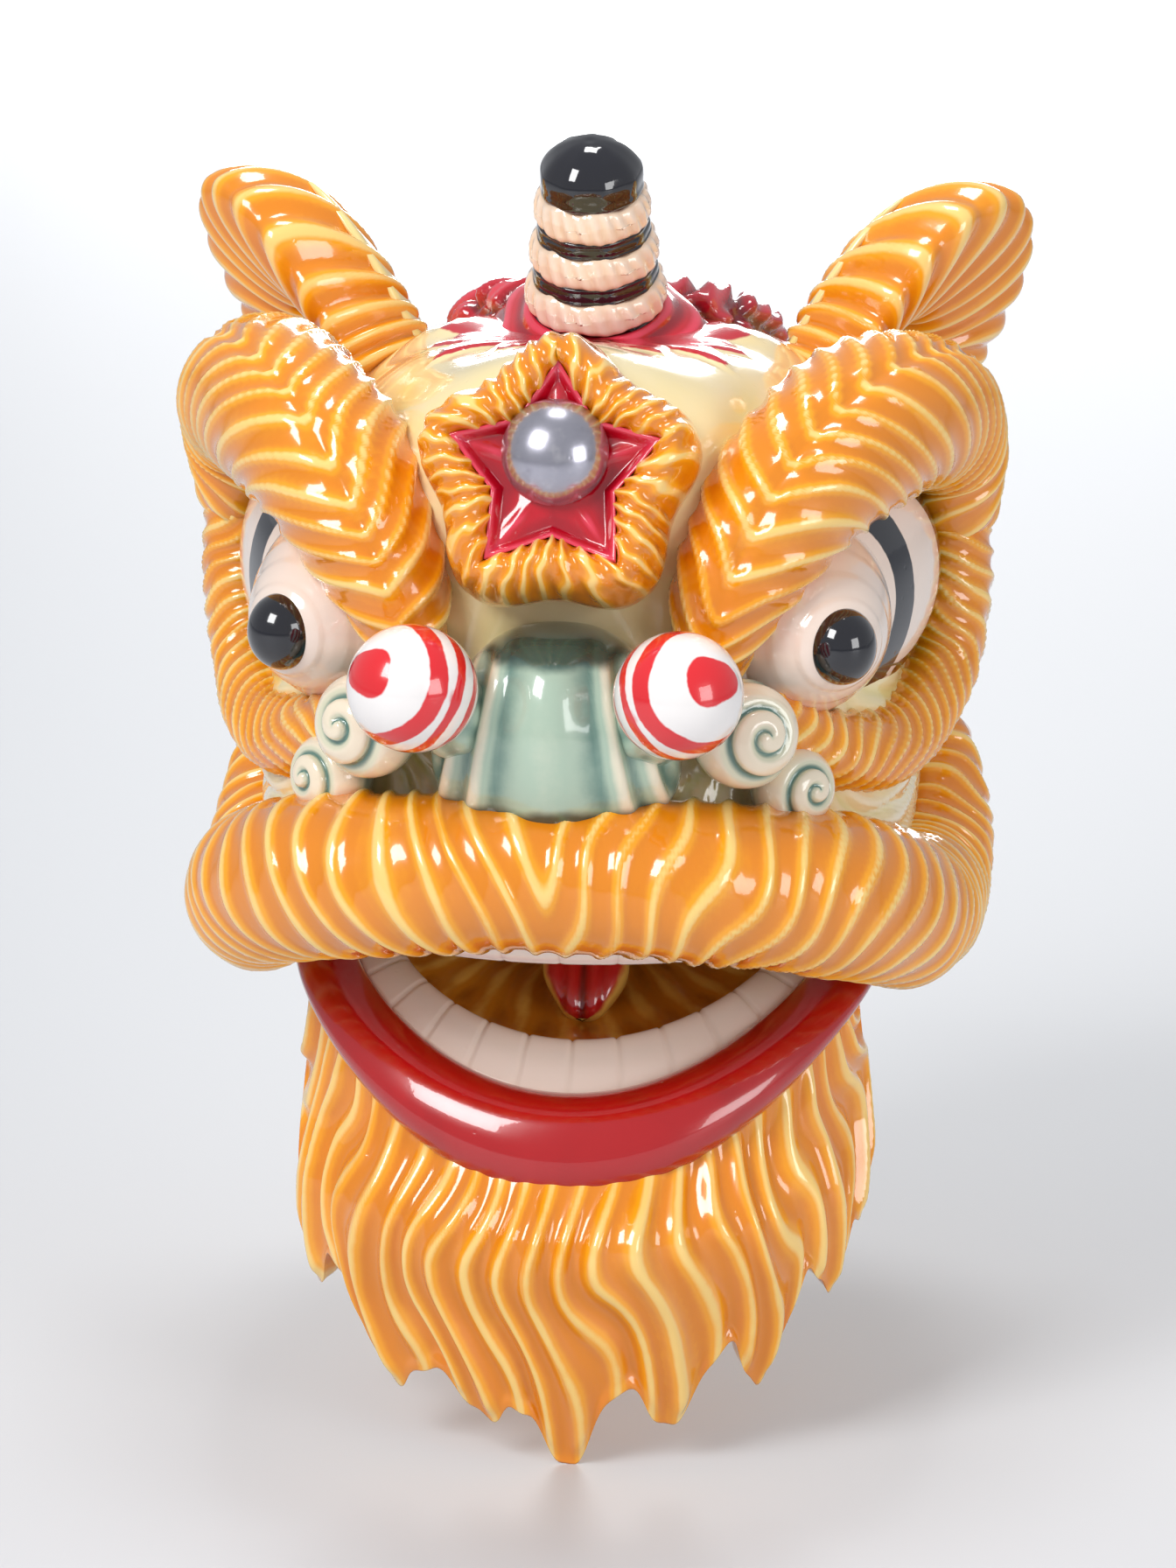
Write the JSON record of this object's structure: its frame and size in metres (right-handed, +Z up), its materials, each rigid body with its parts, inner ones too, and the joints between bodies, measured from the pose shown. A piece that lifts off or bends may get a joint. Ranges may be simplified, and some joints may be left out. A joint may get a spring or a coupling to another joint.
{
  "type": "lion dance head",
  "caption": "Hollow glazed ceramic lion dance head with a banded horn, fur-rolled brows and lip, round ears, open red-lipped mouth and a hanging beard.",
  "frame": {"origin": "middle of the crown's inner wall, where a wearer's head meets the hollow", "axes": "+Z up, the face looks along -Y, the lion's left side is +X"},
  "size_m": [0.1082, 0.1159, 0.1659],
  "materials": {
    "pale_yellow_glaze": "glossy pale yellow glaze",
    "orange_glaze": "glossy amber glaze pooled darker in the grooves",
    "cream_glaze": "glossy cream glaze",
    "black_glaze": "glossy black glaze",
    "red_glaze": "glossy red glaze",
    "green_glaze": "glossy blue-green glaze over cream",
    "brown_glaze": "glossy amber-brown glaze",
    "white_glaze": "glossy white glaze",
    "silver_glaze": "silver-grey pearl lustre"
  },
  "bodies": {
    "root": {"beard": "orange_glaze", "brow_left": "orange_glaze", "brow_right": "orange_glaze", "cheek_disc_left": "cream_glaze", "cheek_disc_right": "cream_glaze", "disc_flower_left": "red_glaze", "disc_flower_right": "red_glaze", "ear_left": "pale_yellow_glaze", "ear_right": "pale_yellow_glaze", "ear_trim_left": "orange_glaze", "ear_trim_right": "orange_glaze", "eye_left": "cream_glaze", "eye_right": "cream_glaze", "forehead_pearl": "silver_glaze", "forehead_star": "red_glaze", "garland": "red_glaze", "head_shell": "pale_yellow_glaze", "horn_band_lower": "black_glaze", "horn_band_upper": "black_glaze", "horn_cap": "black_glaze", "horn_ring_lower": "cream_glaze", "horn_ring_middle": "cream_glaze", "horn_ring_upper": "cream_glaze", "horn_skirt": "red_glaze", "jaw": "orange_glaze", "lid_left": "orange_glaze", "lid_right": "orange_glaze", "lower_lip": "red_glaze", "lower_teeth": "white_glaze", "mouth_lining": "brown_glaze", "nape_plate": "pale_yellow_glaze", "nape_scroll": "green_glaze", "nose": "green_glaze", "nose_ball_left": "white_glaze", "nose_ball_right": "white_glaze", "nose_stalk_left": "green_glaze", "nose_stalk_right": "green_glaze", "nostril_curl_left": "green_glaze", "nostril_curl_right": "green_glaze", "pupil_left": "black_glaze", "pupil_right": "black_glaze", "rim_band": "orange_glaze", "star_trim": "orange_glaze", "tongue": "red_glaze", "upper_gum": "white_glaze", "upper_lip": "orange_glaze", "whisker_curl_left": "green_glaze", "whisker_curl_right": "green_glaze"}
  },
  "joints": []
}
